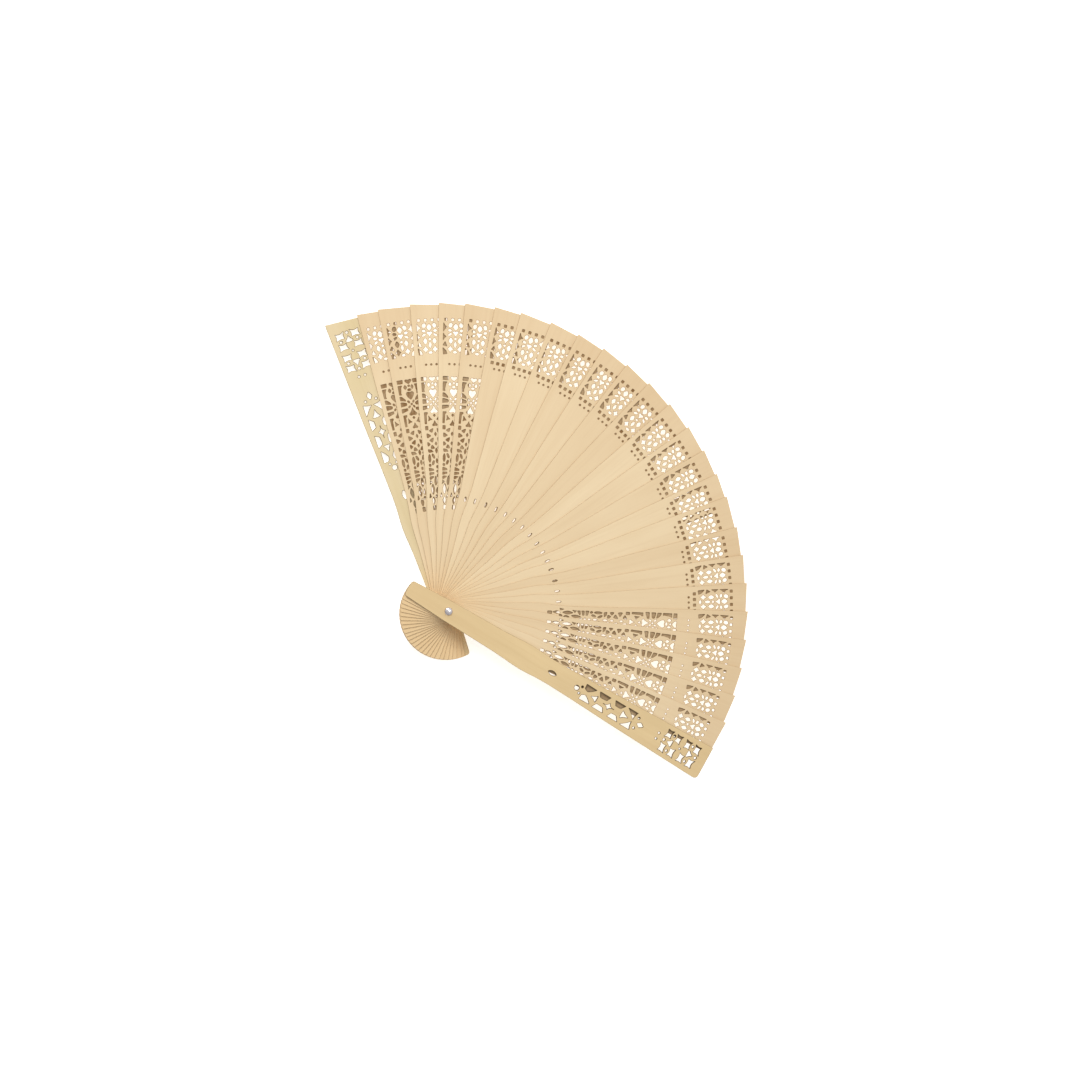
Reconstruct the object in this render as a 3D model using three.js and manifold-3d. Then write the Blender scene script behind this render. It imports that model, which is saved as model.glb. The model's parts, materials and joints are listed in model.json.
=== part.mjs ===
// A folding hand fan made of openwork wooden sticks, lying open and flat.
// The sticks turn about one rivet. +Z is the fan's front, and the origin is the rear end of the rivet.
// Each stick is drawn with its pivot at 0,0 and its axis along +X, then turned and stacked.
import * as THREE from 'three';
import { mergeVertices } from 'three/addons/utils/BufferGeometryUtils.js';
import Module from 'manifold-3d';

const wasm = await Module();
wasm.setup();

// ---- driving dimensions, in millimetres and degrees ----
const INNER_STICKS = 25;          // sticks between the two guards
const PLAIN_FIRST = 6;            // first inner stick that is plain below its upper panel
const PLAIN_LAST = 20;            // last inner stick that is plain below its upper panel
const REAR_ANGLE = 109.5;         // axis of the rear guard when the fan is open
const OPENING = 140.8;            // from the rear guard's axis to the front guard's
const TIP = 175;                  // pivot to the outer end of a stick
const REAR_TAIL = 29.8;           // pivot to the inner end of the rear guard; each layer above is shorter
const FRONT_TAIL = 26.8;          // pivot to the inner end of the front guard
const STICK_THICK = 0.55;
const GUARD_THICK = 1.6;
const LAYER_GAP = 0.07;           // air between neighbouring layers
const SHANK_R = 1.5;              // rivet shank
const PIVOT_R = 1.58;             // flat-to-centre radius of the hole that turns on the shank
const HEAD_R = 2.35;              // domed front head of the rivet
const HEAD_H = 1.3;
const PEEN_R = 2.2;               // flattened rear end of the rivet
const PEEN_H = 0.5;
const WASHER_R = 3.2;
const WASHER_THICK = 0.5;
const CUT_MARGIN = 1;             // how far a cutting prism reaches past both faces

const STICK_SLANT = Math.tan(THREE.MathUtils.degToRad(3.5));        // outer end cut askew
const REAR_SLANT = Math.tan(THREE.MathUtils.degToRad(5));
const FRONT_SLANT = Math.tan(THREE.MathUtils.degToRad(-2));
const GUARD_CORNER = 2.5;         // rounding of the front guard's clockwise outer corner

// Inner sticks that lie off the even spread in the hand-opened fan, by number: degrees anticlockwise.
const STRAY = { 1: -0.8, 2: 0.6, 5: 0.5, 6: 0.3, 7: 0.7, 8: 0.2, 13: -0.2, 14: -0.4, 15: -0.3, 17: 0.7 };

// Half the width of a stick at each distance from the pivot: waist, shoulder, neck, tip.
const HALF_WIDTHS = [[0, 5.9], [34, 6.65], [52, 7.7], [71, 6.95], [115, 8.55], [TIP, 10.3]];
const TAIL_HALF = 4.75;           // half the width at the inner end, whose corners are cut off
const TAIL_CUT = [1, 0.75];

// ---- flat outlines ----

// Outline of a stick or guard. slant leans the outer end, corner rounds its clockwise side.
function bladeShape(tail, slant, corner) {
  const [cutAlong, cutAcross] = TAIL_CUT;
  const side = [
    [-tail, TAIL_HALF - cutAcross], [cutAlong - tail, TAIL_HALF], ...HALF_WIDTHS.slice(0, -1),
  ];
  const [tip, tipHalf] = HALF_WIDTHS.at(-1);
  const shape = new THREE.Shape();
  side.forEach(([along, half], i) => (i ? shape.lineTo(along, -half) : shape.moveTo(along, -half)));
  const end = (across) => tip + slant * across;
  const roundSteps = corner > 0 ? 4 : 0;
  for (let i = 0; i <= roundSteps; i++) {
    const turn = roundSteps ? (Math.PI / 2) * (i / roundSteps) : 0;
    const across = corner * (1 - Math.cos(turn)) - tipHalf;
    shape.lineTo(end(across) - corner * (1 - Math.sin(turn)), across);
  }
  shape.lineTo(end(tipHalf), tipHalf);
  side.reverse().forEach(([along, half]) => shape.lineTo(along, half));
  return shape;
}

function shapeOf(points) {
  return new THREE.Shape(points.map(([x, y]) => new THREE.Vector2(x, y)));
}

// Regular polygon whose flats are r from its centre.
function roundHole(along, across, r, sides) {
  const cornerR = r / Math.cos(Math.PI / sides);
  const points = [];
  for (let i = 0; i < sides; i++) {
    const turn = (2 * Math.PI * (i + 0.5)) / sides;
    points.push([along + cornerR * Math.cos(turn), across + cornerR * Math.sin(turn)]);
  }
  return shapeOf(points);
}

// Four-pointed hole, as long along the stick and as wide across it as given.
function leafHole(along, across, length, width) {
  return shapeOf([
    [along - length / 2, across], [along, across - width / 2],
    [along + length / 2, across], [along, across + width / 2],
  ]);
}

function squareHole(along, across, length, width = length) {
  return shapeOf([
    [along - length / 2, across - width / 2], [along + length / 2, across - width / 2],
    [along + length / 2, across + width / 2], [along - length / 2, across + width / 2],
  ]);
}

// The same hole on both sides of the axis. make(side) builds it for side +1 or -1.
function bothSides(make) {
  return [make(1), make(-1)];
}

// Triangle with one side parallel to the axis, from inner to outer, and its apex nearer the axis.
function sideTriangle(inner, outer, base, apexAlong, apex) {
  return bothSides((s) => shapeOf([[inner, s * base], [outer, s * base], [apexAlong, s * apex]]));
}

// Slanted four-sided bars beside the axis: the far side sits outward of the near side by rise.
function slantedBars(inner, outer, near, far, rise) {
  return bothSides((s) => shapeOf([
    [inner, s * near], [outer - rise, s * near], [outer, s * far], [inner + rise, s * far],
  ]));
}

// ---- openwork ----

// Upper panel of an inner stick, measured down from the tip.
function upperPanel() {
  const down = (distance) => TIP - distance;
  return [
    ...[-5.8, -1.95, 1.95, 5.8].map((across) => squareHole(down(8.7), across, 1.7)),
    ...sideTriangle(down(15.4), down(10.9), 6.9, down(13.3), 4.8),
    ...sideTriangle(down(20.6), down(17), 6.7, down(18.8), 5),
    leafHole(down(13.6), 0, 3.8, 2.6),
    leafHole(down(22.6), 0, 3.4, 1.4),
    ...bothSides((s) => leafHole(down(20.8), s * 2.65, 3.2, 2)),
    ...bothSides((s) => leafHole(down(25.8), s * 2.8, 3, 2.8)),
    ...[-3.05, 0, 3.05].map((across) => roundHole(down(34.1), across, 0.6, 4)),
  ];
}

// Slits near the waist of a plain stick.
function waistSlits() {
  return bothSides((s) => squareHole(64.2, s * 3, 2.9, 0.9));
}

// Long lower panel of the sticks next to the guards.
function lowerPanel() {
  return [
    leafHole(124.4, 0, 3.8, 3.3),
    ...bothSides((s) => squareHole(128.1, s * 4.9, 5.4, 2.4)),
    ...bothSides((s) => squareHole(119.8, s * 4.6, 3, 2.9)),
    leafHole(115.6, 0, 3.8, 3.5),
    squareHole(110.2, 5, 6.7, 1.5),
    leafHole(106.9, 0, 3, 2.8),
    ...bothSides((s) => leafHole(69.8, s * 3.2, 6.4, 1.7)),
    ...bothSides((s) => squareHole(58.9, s * 2.8, 2.3, 1.4)),
  ];
}

// Guard: two mirrored flower motifs above, a long panel of facets, and an eye near the waist.
function guardPanels() {
  const flower = (centre, outward) => [
    roundHole(centre + outward * 10.8, 0, 0.75, 4),
    ...bothSides((s) => squareHole(centre + outward * 9.6, s * 4.5, 3.2, 4.2)),
    ...bothSides((s) => squareHole(centre + outward * 3.2, s * 4.5, 3.2, 4.2)),
    ...bothSides((s) => roundHole(centre + outward * 6.4, s * 4.9, 0.6, 4)),
    shapeOf([
      [centre + outward * 8.6, 0], [centre + outward * 5.4, 1.9], [centre + outward * 5.4, -1.9],
    ]),
  ];
  return [
    ...flower(157.5, 1),
    ...flower(157.5, -1),
    ...bothSides((s) => roundHole(142.2, s * 1.8, 0.6, 4)),
    leafHole(130.1, 0, 4.1, 2.4),
    ...sideTriangle(119.4, 125.6, 5.2, 124.4, 0.9),
    shapeOf([[121.6, 0], [116.8, 2.5], [116.8, -2.5]]),
    ...slantedBars(109.6, 117.2, 2.4, 5, 1.5),
    leafHole(108.4, 0, 7, 3.4),
    ...slantedBars(107.9, 99.9, 2.4, 4.8, -1.5),
    shapeOf([[100.2, 1.8], [100.2, -1.8], [96.8, 0]]),
    ...sideTriangle(91.1, 97.7, 4.6, 94.8, 1.3),
    roundHole(86.7, 0, 1.3, 6),
    leafHole(70, 0, 5.4, 2.4),
  ];
}

// ---- solids ----

function solidOf(geometry) {
  geometry.deleteAttribute('normal');
  geometry.deleteAttribute('uv');
  const merged = mergeVertices(geometry);
  return new wasm.Manifold(new wasm.Mesh({
    numProp: 3,
    vertProperties: merged.attributes.position.array,
    triVerts: new Uint32Array(merged.index.array),
  }));
}

function geometryOf(solid) {
  const mesh = solid.getMesh();
  const geometry = new THREE.BufferGeometry();
  geometry.setAttribute('position', new THREE.BufferAttribute(mesh.vertProperties, 3));
  geometry.setIndex(new THREE.BufferAttribute(mesh.triVerts, 1));
  return geometry;
}

function plate(shape, bottom, thickness) {
  const flat = new THREE.ExtrudeGeometry(shape, { depth: thickness, bevelEnabled: false, curveSegments: 20 });
  return solidOf(flat.translate(0, 0, bottom));
}

// A flat sheet of the given thickness with openings cut right through it.
function cutPlate(shape, thickness, openings) {
  let solid = plate(shape, 0, thickness);
  for (const opening of openings) {
    solid = solid.subtract(plate(opening, -CUT_MARGIN, thickness + 2 * CUT_MARGIN));
  }
  return geometryOf(solid);
}

const pivotHole = () => roundHole(0, 0, PIVOT_R, 10);

function bladeGeometry(tail, slant, corner, thickness, openings) {
  return cutPlate(bladeShape(tail, slant, corner), thickness, [pivotHole(), ...openings]);
}

// Rivet: flattened rear end on z = 0, shank, and a domed head on the front guard.
function rivetGeometry(frontFace) {
  const domeSteps = 4;
  const headBase = frontFace + LAYER_GAP / 2;
  const profile = [
    [0, 0], [PEEN_R - 0.3, 0], [PEEN_R, PEEN_H / 2], [PEEN_R, PEEN_H], [SHANK_R, PEEN_H],
    [SHANK_R, headBase], [HEAD_R, headBase],
  ];
  for (let i = 1; i <= domeSteps; i++) {
    const turn = (Math.PI / 2) * (i / domeSteps);
    profile.push([HEAD_R * Math.cos(turn), headBase + HEAD_H * Math.sin(turn)]);
  }
  profile.at(-1)[0] = 0;
  const lathe = new THREE.LatheGeometry(profile.map(([r, z]) => new THREE.Vector2(r, z)), 20);
  return lathe.rotateX(Math.PI / 2);
}

function washerGeometry() {
  const disc = new THREE.Shape();
  disc.absarc(0, 0, WASHER_R, 0, 2 * Math.PI);
  return cutPlate(disc, WASHER_THICK, [pivotHole()]);
}

// ---- materials ----

const stickWood = new THREE.MeshStandardMaterial({ color: 0xe7ceaa, roughness: 0.6, metalness: 0 });
const guardWood = new THREE.MeshStandardMaterial({ color: 0xdbc299, roughness: 0.55, metalness: 0 });
const nickel = new THREE.MeshStandardMaterial({ color: 0xdacdcd, roughness: 0.25, metalness: 1 });

// ---- assembly ----

const fan = new THREE.Group();

function place(name, geometry, material, height, angle = 0) {
  const mesh = new THREE.Mesh(geometry, material);
  mesh.name = name;
  mesh.position.z = height;
  mesh.rotation.z = THREE.MathUtils.degToRad(angle);
  fan.add(mesh);
}

const washerHeight = PEEN_H + LAYER_GAP / 2;
const rearHeight = washerHeight + WASHER_THICK + LAYER_GAP / 2;
const firstHeight = rearHeight + GUARD_THICK + LAYER_GAP;
const frontHeight = firstHeight + INNER_STICKS * (STICK_THICK + LAYER_GAP);

place('rivet_washer', washerGeometry(), nickel, washerHeight);
place('rear_guard', bladeGeometry(REAR_TAIL, REAR_SLANT, 0, GUARD_THICK, guardPanels()), guardWood,
  rearHeight, REAR_ANGLE);

for (let i = 1; i <= INNER_STICKS; i++) {
  const plain = i >= PLAIN_FIRST && i <= PLAIN_LAST;
  const openings = [...upperPanel(), ...(plain ? waistSlits() : lowerPanel())];
  const share = i / (INNER_STICKS + 1);
  const tail = REAR_TAIL + (FRONT_TAIL - REAR_TAIL) * share;
  const angle = REAR_ANGLE - OPENING * share + (STRAY[i] ?? 0);
  const height = firstHeight + (i - 1) * (STICK_THICK + LAYER_GAP);
  const name = `stick_${String(i).padStart(2, '0')}`;
  place(name, bladeGeometry(tail, STICK_SLANT, 0, STICK_THICK, openings), stickWood, height, angle);
}

place('front_guard', bladeGeometry(FRONT_TAIL, FRONT_SLANT, GUARD_CORNER, GUARD_THICK, guardPanels()),
  guardWood, frontHeight, REAR_ANGLE - OPENING);
place('pivot_rivet', rivetGeometry(frontHeight + GUARD_THICK), nickel, 0);

export default fan;
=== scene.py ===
"""Looks of an openwork wooden folding fan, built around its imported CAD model.

Every stick is drawn flat in its own coordinates, along from the pivot and across it, in millimetres,
and is then turned and raised to its place in the fan. Blender's own units are metres.
"""
import json
import math
import random

import bmesh
import bpy
from mathutils import Matrix, Vector
from mathutils.geometry import tessellate_polygon


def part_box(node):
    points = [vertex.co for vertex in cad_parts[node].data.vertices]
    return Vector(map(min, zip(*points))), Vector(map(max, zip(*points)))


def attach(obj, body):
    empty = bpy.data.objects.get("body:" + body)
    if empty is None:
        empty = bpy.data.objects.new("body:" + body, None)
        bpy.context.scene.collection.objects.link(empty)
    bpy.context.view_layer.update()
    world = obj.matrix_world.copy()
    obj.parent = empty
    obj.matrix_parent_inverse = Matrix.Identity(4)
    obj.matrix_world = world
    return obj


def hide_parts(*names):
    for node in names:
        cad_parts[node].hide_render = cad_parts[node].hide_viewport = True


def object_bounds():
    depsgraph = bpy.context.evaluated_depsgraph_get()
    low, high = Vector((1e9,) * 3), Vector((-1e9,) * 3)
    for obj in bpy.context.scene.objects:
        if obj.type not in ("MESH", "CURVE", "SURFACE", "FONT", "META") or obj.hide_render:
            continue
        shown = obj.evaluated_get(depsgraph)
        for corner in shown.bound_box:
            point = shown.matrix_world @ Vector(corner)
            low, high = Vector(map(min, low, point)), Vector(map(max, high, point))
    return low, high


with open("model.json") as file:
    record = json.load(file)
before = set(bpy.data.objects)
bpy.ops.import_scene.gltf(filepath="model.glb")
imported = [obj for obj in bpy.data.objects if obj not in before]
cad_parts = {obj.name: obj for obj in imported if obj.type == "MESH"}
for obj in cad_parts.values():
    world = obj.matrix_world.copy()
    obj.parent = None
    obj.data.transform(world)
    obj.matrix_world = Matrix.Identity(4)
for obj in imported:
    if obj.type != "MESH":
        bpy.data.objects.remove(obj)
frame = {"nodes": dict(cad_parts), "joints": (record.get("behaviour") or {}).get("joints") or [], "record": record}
cad_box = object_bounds()

MM = 0.001
TIP = 175.0                 # pivot to the outer end of a stick
REAR_TAIL = 29.8            # pivot to the inner end of the rear guard; each layer above is shorter
FRONT_TAIL = 26.8           # pivot to the inner end of the front guard
REAR_ANGLE = 109.5          # degrees from +X to the rear guard's axis
OPENING = next(j for j in frame["joints"] if j["name"] == "front_guard_turn")["range_deg"][1]
TURN_SHARE = {c["joint"]: c["ratio"] for c in frame["record"]["behaviour"]["couplings"]}
STICKS = sorted(n for n in frame["nodes"] if n.startswith("stick_"))
PLAIN_STICKS = STICKS[5:20]     # plain below the upper panel
SHADED_RECESS_DOTS = STICKS[:20]        # their three dots are shallow recesses, not pierced, with dark floors: painted shade where holes would show shade

# In these sticks the long panel is recessed, not pierced, with dark floors as painted shade, from the lowest
# distance given below out to this distance.
SHADED_RECESS_BELOW = {"stick_01": 140, "stick_02": 140, "stick_03": 112, "stick_04": 112, "stick_05": 112}
LOWEST_SHADED_RECESS = 76

# Half the width of a stick at each distance from the pivot: waist, shoulder, neck, tip.
HALF_WIDTHS = [(0, 5.9), (34, 6.65), (52, 7.7), (71, 6.95), (115, 8.55), (TIP, 10.3)]
UPPER_HALF_WIDTH = (4.75, 0.032)    # the part beyond the neck: half its width run on to the pivot, and growth
TAIL_HALF = 4.75            # half the width at the inner end
STICK_TAIL_ROUND = 0.5      # radius of the corners there
GUARD_TAIL_ROUND = 1.5
STICK_SLANT = 3.5           # degrees that the outer end leans
REAR_SLANT = 5
FRONT_SLANT = -2
FRONT_CORNER = 2.5          # radius of the front guard's one rounded outer corner
PIVOT_R = 1.58
SHANK_R = 1.5

CORNER_EASE = 0.14          # taken off the corners of every opening
KERF = 0.08                 # how far the saw ran outside each opening as drawn
FINE_KERF = 0.04            # the same in the guards and the long panels of the sticks
NOTCH_TRIES = 12
STICK_EDGE = 0.1            # width of the rounding along a stick's own edge
STICK_SCORCH_AND_SHADE_WIDTH = 0.22           # width of the rounded edge of its openings, darkened by scorch and painted shade
GUARD_EDGE = 0.2
GUARD_SCORCH_AND_SHADE_WIDTH = 0.3
LIP_SLOPE = 0.7             # depth of a rounded edge over its width, steep enough to shade as an edge
FLOOR_DEPTH = 0.4           # height of a recess floor, as a share of the thickness
EDGE_SCORCH_AND_SHADE = 0.32            # how dark a stick's own edge is, scorch and painted shade between the layers; the walls of its openings are 1
FLOOR_PAINTED_SHADE = 0.38           # the same for the floor of a recess, painted shade where a hole would show shade
UNCOVERED = 10.0            # stands for no stick lying above


# ---- outlines ----

def curved(points, bulge=0.0, steps=5):
    """Closed outline whose sides bow out by bulge times their length, or in where it is negative."""
    centre = sum((Vector(p) for p in points), Vector((0, 0))) / len(points)
    bulges = bulge if isinstance(bulge, (list, tuple)) else [bulge] * len(points)
    outline = []
    for k, start in enumerate(points):
        a, b = Vector(start), Vector(points[(k + 1) % len(points)])
        side = b - a
        out = Vector((side.y, -side.x))
        if out.dot((a + b) / 2 - centre) < 0:
            out.negate()
        count = steps if bulges[k] else 1
        for s in range(count):
            t = s / count
            outline.append(a + side * t + out * (4 * t * (1 - t) * bulges[k]))
    return outline


def oval(along, across, length, width, tilt=0.0, sides=12):
    turn = math.radians(tilt)
    outline = []
    for k in range(sides):
        angle = math.tau * k / sides
        x, y = length / 2 * math.cos(angle), width / 2 * math.sin(angle)
        outline.append(Vector((
            along + x * math.cos(turn) - y * math.sin(turn),
            across + x * math.sin(turn) + y * math.cos(turn),
        )))
    return outline


def star(along, across, length, width, bulge=-0.18):
    """Four points joined by hollow sides; a positive bulge makes it a rounded kite."""
    return curved([
        (along - length / 2, across), (along, across - width / 2),
        (along + length / 2, across), (along, across + width / 2),
    ], bulge)


def box(along, across, length, width):
    ahead, aside = length / 2, width / 2
    return curved([
        (along - ahead, across - aside), (along + ahead, across - aside),
        (along + ahead, across + aside), (along - ahead, across + aside),
    ])


def heart(along, across, length, width):
    """Point towards the pivot, two lobes outward."""
    ahead, aside = length / 2, width / 2
    return curved([
        (along - ahead, across),
        (along + ahead * 0.35, across - aside), (along + ahead, across - aside * 0.55),
        (along + ahead, across + aside * 0.55), (along + ahead * 0.35, across + aside),
    ], [0.06, 0.25, -0.15, 0.25, 0.06])


def spade(along, across, length, width):
    """Point outward, widest near its inner end."""
    ahead, aside = length / 2, width / 2
    return curved([
        (along + ahead, across),
        (along - ahead * 0.6, across + aside), (along - ahead, across + aside * 0.5),
        (along - ahead, across - aside * 0.5), (along - ahead * 0.6, across - aside),
    ], [-0.08, 0.2, -0.12, 0.2, -0.08])


def both(make):
    """The same opening on both sides of the axis."""
    return [make(1), make(-1)]


def side_shape(points, bulge=0.0):
    """An opening given on one side, points as (along, across), and its mirror image."""
    return both(lambda s: curved([(a, s * c) for a, c in points], bulge))


def eased(outline, cut):
    """Takes the sharpness off corners, as a fret saw or laser does. Gentle bends stay as they are."""
    result = []
    count = len(outline)
    for k, point in enumerate(outline):
        before, after = outline[k - 1] - point, outline[(k + 1) % count] - point
        bend = before.angle(-after, 0.0)
        reach = min(cut, before.length * 0.35, after.length * 0.35)
        if bend < math.radians(28):
            result.append(point)
            continue
        result.append(point + before.normalized() * reach)
        if bend > math.radians(80):
            result.append(point + (before.normalized() + after.normalized()) * reach * 0.32)
        result.append(point + after.normalized() * reach)
    return result


def smooth_half_widths(steps=3):
    """The half widths with the waist, shoulder and neck rounded by a curve through the same points."""
    stations = HALF_WIDTHS[:-1]
    curve = []
    for k in range(len(stations) - 1):
        p0 = Vector(stations[max(k - 1, 0)])
        p1, p2 = Vector(stations[k]), Vector(stations[k + 1])
        p3 = Vector(stations[min(k + 2, len(stations) - 1)])
        for s in range(steps):
            t = s / steps
            curve.append(0.5 * (
                2 * p1 + (p2 - p0) * t + (2 * p0 - 5 * p1 + 4 * p2 - p3) * t * t
                + (3 * p1 - p0 - 3 * p2 + p3) * t ** 3
            ))
    return curve + [Vector(stations[-1])]


def rounded_corner(radius, steps):
    """Offsets (back along the stick, in across it) that round a square corner."""
    turns = [math.pi / 2 * k / steps for k in range(steps + 1)]
    return [(radius * (1 - math.sin(turn)), radius * (1 - math.cos(turn))) for turn in turns]


def tail_end(tail, tail_round):
    """Half of the inner end, from near the axis outward: an arc about the pivot with a rounded corner."""
    corner = [(back, TAIL_HALF - inward) for back, inward in rounded_corner(tail_round, 4)]
    points = [(0, TAIL_HALF * 0.25), (0, TAIL_HALF * 0.6)] + corner[::-1]
    return [Vector((back - math.sqrt(tail * tail - across * across), across)) for back, across in points]


def blade_outline(tail, slant, corner, tail_round):
    """Whole outline, anticlockwise. slant leans the outer end, corner rounds its clockwise side."""
    side = tail_end(tail, tail_round) + smooth_half_widths()
    half = HALF_WIDTHS[-1][1]
    lean = math.tan(math.radians(slant))
    offsets = rounded_corner(corner, 6) if corner else [(0, 0)]
    tip = [Vector((TIP - lean * (half - inward) - back, inward - half)) for back, inward in offsets]
    tip.append(Vector((TIP + lean * half, half)))
    right = [Vector((p.x, -p.y)) for p in side]
    return right + tip + side[::-1]


# ---- openwork patterns ----

def upper_panel():
    """Lattice below the tip of every inner stick, in distances down from the tip."""
    openings = side_shape([(10.8, 7.0), (15.4, 7.0), (13.2, 4.9)], [0, -0.12, -0.12])
    openings += side_shape([(16.7, 7.0), (20.4, 7.0), (18.5, 5.5)], [0, -0.1, -0.1])
    openings += side_shape([(21.5, 5.9), (23.4, 7.0), (23.9, 4.9)])
    openings += side_shape([(25.0, 7.0), (28.5, 6.6), (28.2, 4.6), (26.6, 5.3)])
    openings += both(lambda s: oval(11.9, s * 3.0, 2.6, 2.0, s * 20))
    openings += [star(12.9, 0, 3.6, 2.7, 0.08)]
    openings += both(lambda s: oval(14.9, s * 3.35, 1.3, 2.0, s * 12))
    openings += [spade(16.9, 0, 2.8, 3.0)]
    openings += both(lambda s: oval(17.3, s * 3.3, 1.0, 2.4, s * -32))
    openings += [oval(19.7, 0, 1.0, 1.3)]
    openings += both(lambda s: star(20.8, s * 2.65, 3.4, 2.2, 0.07))
    openings += [star(23.0, 0, 3.4, 1.6, 0.06)]
    openings += both(lambda s: star(25.5, s * 2.75, 3.5, 3.1, -0.1))
    openings += [oval(27.3, 0, 1.3, 2.1)]
    return [[Vector((TIP - p.x, p.y)) for p in opening] for opening in openings]


def three_dots():
    return [oval(TIP - 34.2, across, 0.9, 0.9) for across in (-3.0, 0.0, 3.0)]


def square_row(down, spacing, size):
    """Four small squares in a row across the stick, at a distance down from its tip."""
    return [box(TIP - down, place * spacing, size, size) for place in (-1.5, -0.5, 0.5, 1.5)]


def waist_slits():
    return both(lambda s: oval(64.2, s * 3.0, 2.9, 0.9))


def rays(centre, outward, reach):
    """Three rays of a half sun, mirrored across the axis; outward is 1 or -1."""
    def at(offset):
        return centre + outward * offset
    outer = [(at(5.8), reach), (at(3.7), reach), (at(3.1), 3.1), (at(4.8), 4.3)]
    middle_ray = [(at(2.5), reach), (at(0.1), reach), (at(0.5), 3.1), (at(1.7), 2.9)]
    inner = [(at(-1.4), reach), (at(-3.5), reach), (at(-2.4), 2.7), (at(-1.3), 2.7)]
    shapes = side_shape(outer, [0, 0, 0.1, 0.12])
    shapes += side_shape(middle_ray, [0, 0, 0.15, 0.05])
    shapes += side_shape(inner)
    return shapes


def lower_panel():
    """Long panel of the sticks beside the guards: hearts, suns, spades, a zigzag and slender kites."""
    openings = side_shape([(131.8, 3.4), (133.7, 3.2), (133.7, 6.3), (131.8, 6.3)])
    openings += [heart(132.5, 0, 2.4, 3.6)]
    openings += side_shape(
        [(130.6, 6.2), (125.5, 6.1), (125.5, 4.9), (128.0, 4.8), (130.6, 4.0)], [0, 0, -0.1, -0.1, 0],
    )
    openings += both(lambda s: star(129.4, s * 2.2, 2.4, 1.7, 0.05))
    openings += [oval(130.1, 0, 1.0, 1.1), oval(127.8, 0, 1.2, 2.0)]
    openings += [heart(124.4, 0, 4.4, 4.1)]
    openings += rays(118.6, 1, 6.1)
    openings += [oval(119.5, 0, 1.0, 1.0)]
    openings += both(lambda s: oval(121.0, s * 1.55, 1.6, 0.9, s * 40))
    openings += both(lambda s: oval(118.1, s * 1.5, 1.5, 0.8, s * -40))
    openings += [spade(115.3, 0, 4.2, 4.2)]
    openings += side_shape([
        (113.5, 5.7), (107.1, 5.6), (107.1, 4.7), (112.2, 4.6), (112.8, 3.9), (113.5, 3.9),
    ])
    openings += side_shape([(111.5, 3.3), (108.7, 3.5), (109.4, 1.5)], -0.06)
    openings += [star(111.7, 0, 1.5, 1.3, 0), spade(107.2, 0, 2.9, 2.8)]
    openings += both(lambda s: box(104.6, s * 4.8, 2.0, 1.4))
    openings += side_shape([(104.2, 1.3), (103.0, 3.4), (102.0, 1.9)], 0.06)
    openings += side_shape([(101.4, 4.9), (99.0, 4.7), (100.1, 2.7)], 0.05)
    openings += side_shape([(98.8, 1.4), (97.4, 3.5), (96.4, 1.9)], 0.06)
    openings += [star(101.0, 0, 2.2, 1.2, 0), star(95.5, 0, 2.0, 1.2, 0)]
    openings += side_shape([(96.4, 4.7), (94.2, 4.6), (95.2, 3.3)], 0.05)
    openings += side_shape([(94.7, 2.3), (92.9, 3.0), (92.9, 1.0)], 0.08)
    openings += side_shape([(92.3, 4.6), (90.6, 4.2), (90.9, 1.9), (91.9, 2.6)], [0.1, 0, -0.1, 0])
    openings += [star(91.5, 0, 3.0, 1.1, 0.05)]
    openings += both(lambda s: star(87.2, s * 4.1, 4.7, 1.2, 0.1))
    openings += both(lambda s: oval(88.4, s * 1.9, 2.9, 1.1, s * 24))
    openings += both(lambda s: oval(84.6, s * 2.15, 2.6, 1.1, s * -18))
    openings += [star(85.6, 0, 2.8, 1.0, 0.06)]
    openings += both(lambda s: oval(83.2, s * 4.1, 1.5, 1.1, s * 12))
    openings += side_shape([(81.7, 4.7), (79.9, 4.7), (80.2, 2.2), (81.0, 2.4)], [0, 0, 0.1, 0])
    openings += side_shape([(79.0, 4.6), (77.5, 4.6), (78.2, 2.1), (79.0, 2.2)])
    openings += side_shape([(76.6, 4.5), (75.0, 4.4), (76.6, 2.2)], 0.05)
    openings += [oval(79.6, 0, 1.2, 1.2), oval(82.2, 0, 1.6, 0.9), oval(77.2, 0, 1.6, 0.9)]
    openings += side_shape([(77.0, 1.2), (73.4, 0.6), (71.6, 1.5), (73.6, 2.0)], 0.05)
    openings += side_shape([(74.4, 4.5), (73.5, 3.3), (72.2, 4.7)], -0.05)
    openings += both(lambda s: star(69.4, s * 3.2, 6.0, 1.8, 0.05))
    openings += side_shape([(70.4, 0.7), (68.2, 1.5), (67.0, 0.7)], 0.05)
    openings += side_shape([(67.0, 5.0), (65.0, 4.4), (64.6, 5.4)], 0)
    openings += both(lambda s: oval(65.3, s * 1.4, 1.9, 0.9, s * -20))
    openings += both(lambda s: star(62.9, s * 3.1, 4.4, 1.5, 0.04))
    openings += both(lambda s: box(58.8, s * 2.8, 2.3, 1.4))
    return openings


def flower(centre, outward):
    """Half of a guard's upper panel: four hollow-sided squares and dots round a small gable."""
    def at(offset):
        return centre + outward * offset
    hollow = [-0.15, -0.12, -0.1, -0.13]
    openings = [oval(at(10.8), 0, 1.5, 1.6)]
    openings += side_shape([(at(11.8), 1.8), (at(11.3), 6.8), (at(7.5), 7.0), (at(7.9), 2.3)], hollow)
    openings += side_shape([(at(4.9), 2.4), (at(5.1), 6.8), (at(1.3), 7.0), (at(1.6), 1.8)], hollow)
    openings += both(lambda s: oval(at(6.3), s * 4.9, 1.3, 1.5))
    openings += [curved([(at(8.7), 0), (at(6.1), 2.0), (at(5.4), 1.6), (at(5.4), -1.6), (at(6.1), -2.0)],
                        [-0.06, 0, 0, 0, -0.06])]
    return openings


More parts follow.
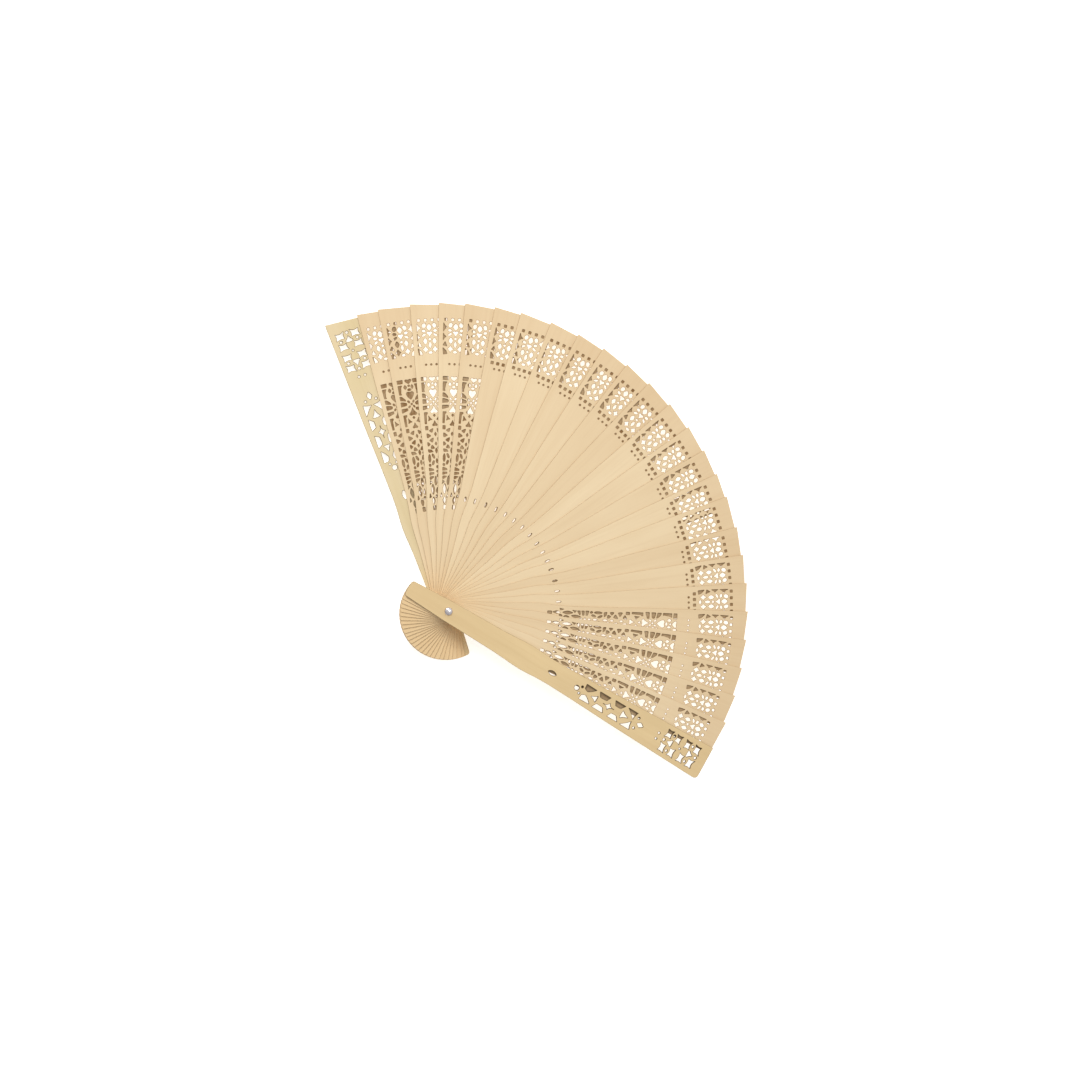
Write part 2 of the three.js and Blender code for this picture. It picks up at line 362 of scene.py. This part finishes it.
def guard_panels():
    """Two flowers above, a long panel of facets below, and an eye near the waist."""
    openings = flower(157.5, 1) + flower(157.5, -1) + [oval(157.5, 0, 1.1, 1.1)]
    openings += both(lambda s: oval(142.2, s * 1.85, 1.3, 1.3))
    openings += [star(130.1, 0, 4.2, 2.9, 0.02)]
    openings += both(lambda s: oval(127.5, s * 3.2, 1.3, 1.3))
    openings += side_shape([(119.4, 5.3), (125.6, 5.3), (124.6, 0.8)], [0, -0.07, -0.03])
    openings += [curved([(121.6, 0), (117.4, 2.2), (117.4, -2.2)], [-0.06, 0.05, -0.06])]
    openings += side_shape([(110.5, 5.1), (117.1, 5.1), (115.2, 2.6), (111.8, 2.6)], [0, 0, 0.03, 0])
    openings += [star(108.4, 0, 7.2, 4.0, -0.2)]
    openings += side_shape([(100.0, 4.9), (107.1, 4.9), (105.8, 2.5), (101.5, 2.3)], [0, 0, 0.03, 0])
    openings += [curved([(100.2, 1.85), (100.2, -1.85), (96.7, 0)], [0, -0.05, -0.05])]
    openings += side_shape([(91.0, 4.7), (97.6, 4.5), (93.5, 1.3), (91.2, 2.2)], [0, 0.05, 0.05, 0])
    openings += both(lambda s: oval(89.3, s * 2.05, 1.2, 1.2))
    openings += [oval(86.7, 0, 2.8, 2.8, sides=18), star(70.0, 0, 5.4, 2.4, 0.1)]
    return openings


# ---- solids ----

def signed_area(outline):
    return sum(a.x * b.y - b.x * a.y for a, b in zip(outline, outline[1:] + outline[:1])) / 2


def inset(outline, distance):
    """The outline moved sideways to its left by distance: into the wood for every outline used here.

    Where a notch is too narrow for that and a side would turn round, its ends move less.
    """
    count = len(outline)
    shift = []
    for k, point in enumerate(outline):
        before = (point - outline[k - 1]).normalized()
        after = (outline[(k + 1) % count] - point).normalized()
        side_a, side_b = Vector((-before.y, before.x)), Vector((-after.y, after.x))
        shift.append((side_a + side_b) / max(1 + side_a.dot(side_b), 0.7))
    reach = [distance] * count
    for _ in range(NOTCH_TRIES):
        moved = [point + shift[k] * reach[k] for k, point in enumerate(outline)]
        turned = [
            k for k in range(count)
            if (moved[(k + 1) % count] - moved[k]).dot(outline[(k + 1) % count] - outline[k]) <= 0
        ]
        if not turned:
            break
        for k in turned:
            reach[k] *= 0.6
            reach[(k + 1) % count] *= 0.6
    return moved


def clockwise(outline):
    return outline if signed_area(outline) < 0 else outline[::-1]


def grown(opening, kerf=KERF):
    """The opening with its corners eased, and made larger by the saw's kerf."""
    return inset(clockwise(eased(opening, CORNER_EASE)), kerf)


def narrowed_behind(openings):
    """Openings of a long panel with those that the next stick covers drawn nearer to the axis."""
    def covered(outline):
        return min(p.x for p in outline) > LOWEST_SHADED_RECESS and max(p.y for p in outline) < 0
    return [[Vector((p.x, p.y * 0.8)) for p in o] if covered(o) else o for o in openings]


class Sheet:
    """Vertices, faces and edge darkening, scorch and painted shade, of one flat sheet cut from the front."""

    def __init__(self):
        self.verts, self.faces, self.scorch_and_shade_level = [], [], []

    def ring(self, outline, height, scorch_and_shade_level):
        """Adds a closed ring of vertices and returns its first index."""
        start = len(self.verts)
        self.verts += [(p.x, p.y, height) for p in outline]
        self.scorch_and_shade_level += [scorch_and_shade_level] * len(outline)
        return start

    def walls(self, starts, count):
        for low, high in zip(starts, starts[1:]):
            for k in range(count):
                n = (k + 1) % count
                self.faces.append((low + k, low + n, high + n, high + k))

    def cap(self, outlines, starts, flip):
        """Fills between rings that lie at one height."""
        index = [start + k for outline, start in zip(outlines, starts) for k in range(len(outline))]
        for tri in tessellate_polygon([[Vector((p.x, p.y, 0)) for p in outline] for outline in outlines]):
            corners = tuple(index[i] for i in tri)
            self.faces.append(corners[::-1] if flip else corners)


def cut_sheet(outline, openings, recesses, thickness, ease, scorch_and_shade_width):
    """Flat sheet from z = 0 with openings cut through and shallow recesses in its front, whose dark floors are
    painted shade.

    ease is how far its own edge is rounded, the last argument how far the cut edges are rounded and darkened by
    scorch and painted shade.
    """
    sheet = Sheet()
    rims, tops, bottoms = [], [], []
    # every edge darkens: scorch of the cut and painted shade in the narrow gaps; the walls of openings fully
    for loop, reach, scorch_and_shade_level in [(outline, ease, EDGE_SCORCH_AND_SHADE)] + [(opening, scorch_and_shade_width, 1.0) for opening in openings]:
        rim = inset(loop, reach)
        lip = reach * LIP_SLOPE
        levels = [(rim, 0.0, 0.0), (loop, lip, scorch_and_shade_level), (loop, thickness - lip, scorch_and_shade_level), (rim, thickness, 0.0)]
        starts = [sheet.ring(*level) for level in levels]
        sheet.walls(starts, len(loop))
        rims.append(rim)
        bottoms.append(starts[0])
        tops.append(starts[-1])
    sheet.cap(rims, bottoms, True)
    # recesses stand where a hole would show shade: their dark floors and walls are painted shade
    for loop in recesses:
        rim = inset(loop, scorch_and_shade_width)
        lip = scorch_and_shade_width * LIP_SLOPE
        starts = [
            sheet.ring(loop, thickness * FLOOR_DEPTH, FLOOR_PAINTED_SHADE),
            sheet.ring(loop, thickness - lip, 1.0),
            sheet.ring(rim, thickness, 0.0),
        ]
        sheet.walls(starts, len(loop))
        sheet.cap([loop], starts[:1], False)
        rims.append(rim)
        tops.append(starts[-1])
    sheet.cap(rims, tops, False)
    return sheet


def turn_of(name):
    """Angle of a stick's axis in the open fan, in degrees."""
    if name == "rear_guard":
        return REAR_ANGLE
    share = 1.0 if name == "front_guard" else TURN_SHARE[f"{name}_turn"]
    return REAR_ANGLE - OPENING * share


def beyond_next(name, along, across):
    """How far a point lies anticlockwise of the stick above's edge; negative where that stick covers it."""
    layers = ["rear_guard"] + STICKS + ["front_guard"]
    if name == layers[-1]:
        return UNCOVERED
    lead = math.tan(math.radians(turn_of(name) - turn_of(layers[layers.index(name) + 1])))
    at_pivot, growth = UPPER_HALF_WIDTH
    return across - (at_pivot + growth * along - lead * along)


def build_blade(name, design, material, tone):
    """Puts a flat sheet in its place. tone is how dark its wood is and where in the plank it was cut."""
    verts, faces, scorch_and_shade_level = design.verts, design.faces, design.scorch_and_shade_level
    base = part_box(name)[0].z
    top = max(height for _, _, height in verts)
    place = Matrix.Rotation(math.radians(turn_of(name)), 3, "Z")
    mesh = bpy.data.meshes.new(f"{name}_wood")
    mesh.from_pydata([place @ (Vector(v) * MM) + Vector((0, 0, base)) for v in verts], [], faces)
    for label, kind in (("grain", "FLOAT_VECTOR"), ("edge", "FLOAT"), ("tone", "FLOAT"), ("bare", "FLOAT")):
        mesh.attributes.new(label, kind, "POINT")
    grain, edge, shade, bare = (mesh.attributes[label].data for label in ("grain", "edge", "tone", "bare"))
    for k, (x, y, z) in enumerate(verts):
        grain[k].vector = (x * MM, y * MM + tone[1], z * MM)
        edge[k].value = scorch_and_shade_level[k]
        shade[k].value = tone[0]
        # bare sets the painted shade on the wood that the next stick covers
        bare[k].value = beyond_next(name, x, y) if z > top / 2 else UNCOVERED
    bm = bmesh.new()
    bm.from_mesh(mesh)
    bmesh.ops.recalc_face_normals(bm, faces=bm.faces)
    for face in bm.faces:
        face.smooth = len(face.verts) == 4
    open_edges = [e for e in bm.edges if len(e.link_faces) != 2]
    if open_edges:
        raise RuntimeError(f"{name}: {len(open_edges)} edges without two faces")
    bm.to_mesh(mesh)
    bm.free()
    mesh.set_sharp_from_angle(angle=math.radians(32))
    mesh.materials.append(material)
    blade = bpy.data.objects.new(f"{name}_wood", mesh)
    bpy.context.scene.collection.objects.link(blade)
    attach(blade, name)
    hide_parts(name)
    return blade


def lathe(name, profile, material, body, node, segments=48):
    """Solid of revolution about the pivot axis; the profile is (radius, height) in millimetres."""
    bm = bmesh.new()
    rings = []
    for radius, height in profile:
        if radius == 0:
            rings.append([bm.verts.new((0, 0, height * MM))])
            continue
        rings.append([
            bm.verts.new((radius * MM * math.cos(a), radius * MM * math.sin(a), height * MM))
            for a in (math.tau * k / segments for k in range(segments))
        ])
    pairs = list(zip(rings, rings[1:]))
    if len(rings[0]) > 1 and len(rings[-1]) > 1:
        pairs.append((rings[-1], rings[0]))
    for low, high in pairs:
        for k in range(segments):
            n = (k + 1) % segments
            quad = [low[k % len(low)], low[n % len(low)], high[n % len(high)], high[k % len(high)]]
            bm.faces.new(list(dict.fromkeys(quad)))
    bmesh.ops.recalc_face_normals(bm, faces=bm.faces)
    for face in bm.faces:
        face.smooth = True
    mesh = bpy.data.meshes.new(name)
    bm.to_mesh(mesh)
    bm.free()
    mesh.set_sharp_from_angle(angle=math.radians(40))
    mesh.materials.append(material)
    piece = bpy.data.objects.new(name, mesh)
    bpy.context.scene.collection.objects.link(piece)
    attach(piece, body)
    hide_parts(node)
    return piece


# ---- materials ----

class Nodes:
    """Short way to write a node material."""

    def __init__(self, name):
        self.material = bpy.data.materials.new(name)
        self.material.use_nodes = True
        self.tree = self.material.node_tree
        self.tree.nodes.clear()
        self.shader = self.add("ShaderNodeBsdfPrincipled")
        out = self.add("ShaderNodeOutputMaterial")
        self.link(self.shader.outputs["BSDF"], out.inputs["Surface"])

    def add(self, kind, **values):
        node = self.tree.nodes.new(kind)
        for key, value in values.items():
            setattr(node, key, value)
        return node

    def link(self, source, target):
        self.tree.links.new(source, target)

    def attribute(self, name, output):
        return self.add("ShaderNodeAttribute", attribute_name=name).outputs[output]

    def noise(self, vector, scale, detail=3.0, roughness=0.55):
        mapping = self.add("ShaderNodeMapping")
        mapping.inputs["Scale"].default_value = scale
        self.link(vector, mapping.inputs["Vector"])
        node = self.add("ShaderNodeTexNoise")
        node.inputs["Scale"].default_value = 1.0
        node.inputs["Detail"].default_value = detail
        node.inputs["Roughness"].default_value = roughness
        self.link(mapping.outputs["Vector"], node.inputs["Vector"])
        return node.outputs["Fac"]

    def spread(self, value, low, high, out_low=0.0, out_high=1.0):
        node = self.add("ShaderNodeMapRange")
        for key, number in zip(("From Min", "From Max", "To Min", "To Max"), (low, high, out_low, out_high)):
            node.inputs[key].default_value = number
        self.link(value, node.inputs["Value"])
        return node.outputs["Result"]

    def product(self, first, second):
        node = self.add("ShaderNodeMath", operation="MULTIPLY")
        self.link(first, node.inputs[0])
        self.link(second, node.inputs[1])
        return node.outputs[0]

    def mix(self, factor, first, second):
        node = self.add("ShaderNodeMix", data_type="RGBA")
        self.link(factor, node.inputs["Factor"])
        colour_a, colour_b = [s for s in node.inputs if s.type == "RGBA"]
        for socket, value in ((colour_a, first), (colour_b, second)):
            if isinstance(value, tuple):
                socket.default_value = value
            else:
                self.link(value, socket)
        return next(s for s in node.outputs if s.type == "RGBA")


def srgb(red, green, blue):
    def linear(c):
        c /= 255
        return c / 12.92 if c <= 0.04045 else ((c + 0.055) / 1.055) ** 2.4
    return (linear(red), linear(green), linear(blue), 1.0)


def wood(name, pale, warm, dark, inner_end_tint, tip_darkening, scorched_and_shaded, painted_shade_under_next):
    """Fine pale wood, darker towards the inner end and at the tip, with painted shade on the wood that the next
    stick covers, and edges darkened by the scorch of the fretwork cut and by painted shade.
    """
    n = Nodes(name)
    grain = n.attribute("grain", "Vector")
    streaks = n.noise(grain, (14.0, 620.0, 300.0), 4.0)
    clouds = n.noise(grain, (16.0, 75.0, 40.0), 2.0)
    pores = n.noise(grain, (190.0, 5200.0, 2600.0), 2.0, 0.6)
    along = n.add("ShaderNodeSeparateXYZ")
    n.link(grain, along.inputs["Vector"])
    colour = n.mix(n.spread(clouds, 0.3, 0.7), pale, warm)
    colour = n.mix(n.spread(streaks, 0.48, 0.78, 0.0, 0.2), colour, dark)
    colour = n.mix(n.spread(pores, 0.6, 0.78, 0.0, 0.22), colour, dark)
    colour = n.mix(n.spread(n.attribute("tone", "Fac"), -1.0, 1.0, 0.0, 0.22), colour, dark)
    colour = n.mix(n.spread(along.outputs["X"], inner_end_tint[0], -0.02, 0.0, 0.5), colour, inner_end_tint[1])
    colour = n.mix(n.spread(along.outputs["X"], 0.138, 0.166, 0.0, tip_darkening), colour, dark)
    blotches = n.noise(grain, (170.0, 330.0, 300.0), 3.0)
    # painted shade: the wood that the next stick covers, seen through that stick's openings, is darkened in
    # blotches
    covered = n.spread(n.attribute("bare", "Fac"), -0.5, -1.5, 0.0, painted_shade_under_next)
    hidden = n.product(covered, n.spread(along.outputs["X"], 0.05, 0.056))
    colour = n.mix(n.product(hidden, n.spread(blotches, 0.34, 0.64, 0.68, 1.0)), colour, scorched_and_shaded)
    # edges and the walls of openings darkened in blotches: scorch of the cut and painted shade
    edge_scorch_and_shade = n.spread(n.attribute("edge", "Fac"), 0.0, 0.4, 0.0, 0.95)
    colour = n.mix(n.product(edge_scorch_and_shade, n.spread(blotches, 0.34, 0.64, 0.7, 1.0)), colour, scorched_and_shaded)
    n.link(colour, n.shader.inputs["Base Color"])
    n.link(n.spread(streaks, 0.3, 0.8, 0.62, 0.5), n.shader.inputs["Roughness"])
    n.shader.inputs["Specular IOR Level"].default_value = 0.3
    bump = n.add("ShaderNodeBump")
    bump.inputs["Strength"].default_value = 0.25
    bump.inputs["Distance"].default_value = 0.00008
    relief = n.mix(n.spread(pores, 0.5, 0.8), n.spread(streaks, 0.2, 0.9), (0.0, 0.0, 0.0, 1.0))
    n.link(relief, bump.inputs["Height"])
    n.link(bump.outputs["Normal"], n.shader.inputs["Normal"])
    return n.material


def nickel(name):
    """Polished plate with faint rubbing marks."""
    n = Nodes(name)
    place = n.add("ShaderNodeTexCoord").outputs["Object"]
    marks = n.noise(place, (900.0, 900.0, 300.0), 4.0)
    colour = n.mix(n.spread(marks, 0.35, 0.7), srgb(240, 233, 238), srgb(218, 210, 212))
    n.link(colour, n.shader.inputs["Base Color"])
    n.shader.inputs["Metallic"].default_value = 1.0
    n.link(n.spread(marks, 0.3, 0.75, 0.14, 0.3), n.shader.inputs["Roughness"])
    return n.material


def white_table(name):
    """Matt white that glows a little, so that no shadow is seen on it."""
    n = Nodes(name)
    n.shader.inputs["Base Color"].default_value = (0.9, 0.9, 0.9, 1.0)
    n.shader.inputs["Roughness"].default_value = 0.9
    n.shader.inputs["Emission Color"].default_value = (1.0, 1.0, 1.0, 1.0)
    n.shader.inputs["Emission Strength"].default_value = 0.56
    return n.material


# after the three wood colours: the inner end's reach and tint, how dark the tips, the dark colour of scorch and
# painted shade, and the strength of the painted shade under the next stick
STICK_WOOD = wood(
    "stick_wood", srgb(234, 212, 174), srgb(228, 204, 165), srgb(205, 171, 127),
    (0.03, srgb(232, 194, 138)), 0.24, srgb(118, 78, 22), 0.74,
)
FRONT_WOOD = wood(
    "front_guard_wood", srgb(231, 205, 157), srgb(220, 194, 147), srgb(194, 160, 106),
    (0.06, srgb(214, 185, 138)), 0.1, srgb(66, 42, 12), 0.0,
)
REAR_WOOD = wood(
    "rear_guard_wood", srgb(226, 207, 169), srgb(218, 198, 153), srgb(201, 174, 127),
    (0.03, srgb(222, 188, 134)), 0.1, srgb(84, 56, 24), 0.7,
)
NICKEL = nickel("nickel_plate")


# ---- the fan ----

rng = random.Random(27)
stick_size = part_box(STICKS[0])
guard_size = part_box("front_guard")
stick_thick = (stick_size[1].z - stick_size[0].z) / MM
guard_thick = (guard_size[1].z - guard_size[0].z) / MM
pivot_hole = oval(0, 0, 2 * PIVOT_R, 2 * PIVOT_R, sides=32)[::-1]
lattice = [grown(o) for o in upper_panel()]
dots = [grown(o) for o in three_dots()]
upper_squares = [grown(o) for o in square_row(8.8, 3.9, 1.3)]
lower_squares = [grown(o) for o in square_row(30.8, 3.3, 1.35)]
slits = [grown(o) for o in waist_slits()]
long_panel = [grown(o, FINE_KERF) for o in narrowed_behind(lower_panel())]
guard_cuts = [grown(o, FINE_KERF) for o in guard_panels()]


def tail_of(layer):
    """The inner end's distance from the pivot, with layer 0 the rear guard and the last the front guard."""
    return REAR_TAIL + (FRONT_TAIL - REAR_TAIL) * layer / (len(STICKS) + 1)


def stick_sheet(layer, name):
    """Most openings go through; the dots, squares and part of the rear panels are shallow recesses whose dark
    floors are painted shade.
    """
    through, scorched_and_shaded = [pivot_hole] + lattice, []
    (scorched_and_shaded if name in SHADED_RECESS_DOTS else through).extend(dots)
    if name in PLAIN_STICKS:
        through += slits
        scorched_and_shaded += upper_squares + lower_squares
    else:
        through += upper_squares
        highest_shaded_recess = SHADED_RECESS_BELOW.get(name, 0)
        for opening in long_panel:
            middle_along = sum(p.x for p in opening) / len(opening)
            (scorched_and_shaded if LOWEST_SHADED_RECESS < middle_along < highest_shaded_recess else through).append(opening)
    outline = eased(blade_outline(tail_of(layer), STICK_SLANT, 0, STICK_TAIL_ROUND), 0.25)
    return cut_sheet(outline, through, scorched_and_shaded, stick_thick, STICK_EDGE, STICK_SCORCH_AND_SHADE_WIDTH)


def guard_sheet(layer, slant, corner):
    outline = eased(blade_outline(tail_of(layer), slant, corner, GUARD_TAIL_ROUND), 0.4)
    return cut_sheet(outline, [pivot_hole] + guard_cuts, [], guard_thick, GUARD_EDGE, GUARD_SCORCH_AND_SHADE_WIDTH)


for layer, stick in enumerate(STICKS, 1):
    plank = (rng.uniform(-1, 1), rng.uniform(0, 5))
    build_blade(stick, stick_sheet(layer, stick), STICK_WOOD, plank)
rear_sheet = guard_sheet(0, REAR_SLANT, 0)
front_sheet = guard_sheet(len(STICKS) + 1, FRONT_SLANT, FRONT_CORNER)
build_blade("rear_guard", rear_sheet, REAR_WOOD, (-1, 1.3))
build_blade("front_guard", front_sheet, FRONT_WOOD, (0, 2.6))


def rivet_profile():
    """Flattened rear end, shank and a low domed head with a rolled rim."""
    gap, rim, peen_r, steps = 0.05, 0.12, 2.2, 9
    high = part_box("pivot_rivet")[1]
    peen_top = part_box("rivet_washer")[0].z / MM - gap
    head_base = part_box("front_guard")[1].z / MM + gap
    head_r, top = high.x / MM, high.z / MM
    profile = [(0, 0), (1.6, 0), (2.0, 0.1), (peen_r, 0.3), (peen_r, peen_top), (SHANK_R, peen_top)]
    profile += [(SHANK_R, head_base), (head_r - 0.15, head_base), (head_r, head_base + rim)]
    for k in range(1, steps):
        turn = math.pi / 2 * k / steps
        profile.append((head_r * math.cos(turn), head_base + rim + (top - head_base - rim) * math.sin(turn)))
    return profile + [(0, top)]


def washer_profile():
    low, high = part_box("rivet_washer")
    bore, ease = 1.6, 0.12
    r, bottom, top = high.x / MM, low.z / MM, high.z / MM
    return [
        (bore, bottom + ease), (bore + ease, bottom), (r - ease, bottom), (r, bottom + ease),
        (r, top - ease), (r - ease, top), (bore + ease, top), (bore, top - ease),
    ]


lathe("rivet_domed", rivet_profile(), NICKEL, "rear_guard", "pivot_rivet")
lathe("washer_plated", washer_profile(), NICKEL, "rear_guard", "rivet_washer")


# ---- table, light and camera ----

def flat_area(name, centre, width, depth):
    mesh = bpy.data.meshes.new(name)
    x, y = width / 2, depth / 2
    mesh.from_pydata([(-x, -y, 0), (x, -y, 0), (x, y, 0), (-x, y, 0)], [], [(0, 1, 2, 3)])
    area = bpy.data.objects.new(name, mesh)
    area.location = centre
    bpy.context.scene.collection.objects.link(area)
    return area


middle = (cad_box[0] + cad_box[1]) / 2
table = flat_area("table", (middle.x, middle.y, cad_box[0].z - 0.0004), 8.0, 8.0)
table.data.materials.append(white_table("table_white"))


def studio_world():
    """Pale surroundings, brighter towards the upper right than the lower left."""
    world = bpy.data.worlds.new("studio")
    bpy.context.scene.world = world
    world.use_nodes = True
    tree = world.node_tree
    background = tree.nodes["Background"]
    background.inputs["Color"].default_value = (1.0, 0.995, 0.985, 1.0)
    direction = tree.nodes.new("ShaderNodeTexCoord")
    towards = tree.nodes.new("ShaderNodeVectorMath")
    towards.operation = "DOT_PRODUCT"
    towards.inputs[1].default_value = (0.35, 0.6, 0.72)
    strength = tree.nodes.new("ShaderNodeMapRange")
    for key, number in (("From Min", -0.3), ("From Max", 1.0), ("To Min", 0.32), ("To Max", 0.8)):
        strength.inputs[key].default_value = number
    tree.links.new(direction.outputs["Generated"], towards.inputs[0])
    tree.links.new(towards.outputs["Value"], strength.inputs["Value"])
    tree.links.new(strength.outputs["Result"], background.inputs["Strength"])


studio_world()


def softbox(name, place, size, power):
    """Area light aimed at the middle of the fan."""
    light = bpy.data.lights.new(name, "AREA")
    light.shape = "DISK"
    light.size = size
    light.energy = power
    lamp = bpy.data.objects.new(name, light)
    lamp.location = middle + Vector(place)
    lamp.rotation_euler = (-Vector(place)).to_track_quat("-Z", "Y").to_euler()
    bpy.context.scene.collection.objects.link(lamp)


softbox("key", (-0.35, 0.8, 0.9), 0.45, 7.8)
softbox("glint", (0.3, 0.14, 1.15), 0.4, 1.6)

VIEW_TILT_X = math.radians(2.97)    # the camera stands a little above and to the left of square-on
VIEW_TILT_Y = math.radians(8.42)
VIEW_DISTANCE = 1.195
LENS = 69.09

camera_data = bpy.data.cameras.new("camera")
camera_data.lens = LENS
camera_data.sensor_width = 36.0
camera = bpy.data.objects.new("camera", camera_data)
turned = Matrix.Rotation(-VIEW_TILT_Y, 3, "Y") @ Matrix.Rotation(-VIEW_TILT_X, 3, "X")
aim = Vector((0.054, 0.0398, middle.z))
camera.matrix_world = Matrix.Translation(aim + turned.col[2] * VIEW_DISTANCE) @ turned.to_4x4()
bpy.context.scene.collection.objects.link(camera)
bpy.context.scene.camera = camera
bpy.context.scene.view_settings.view_transform = "Standard"
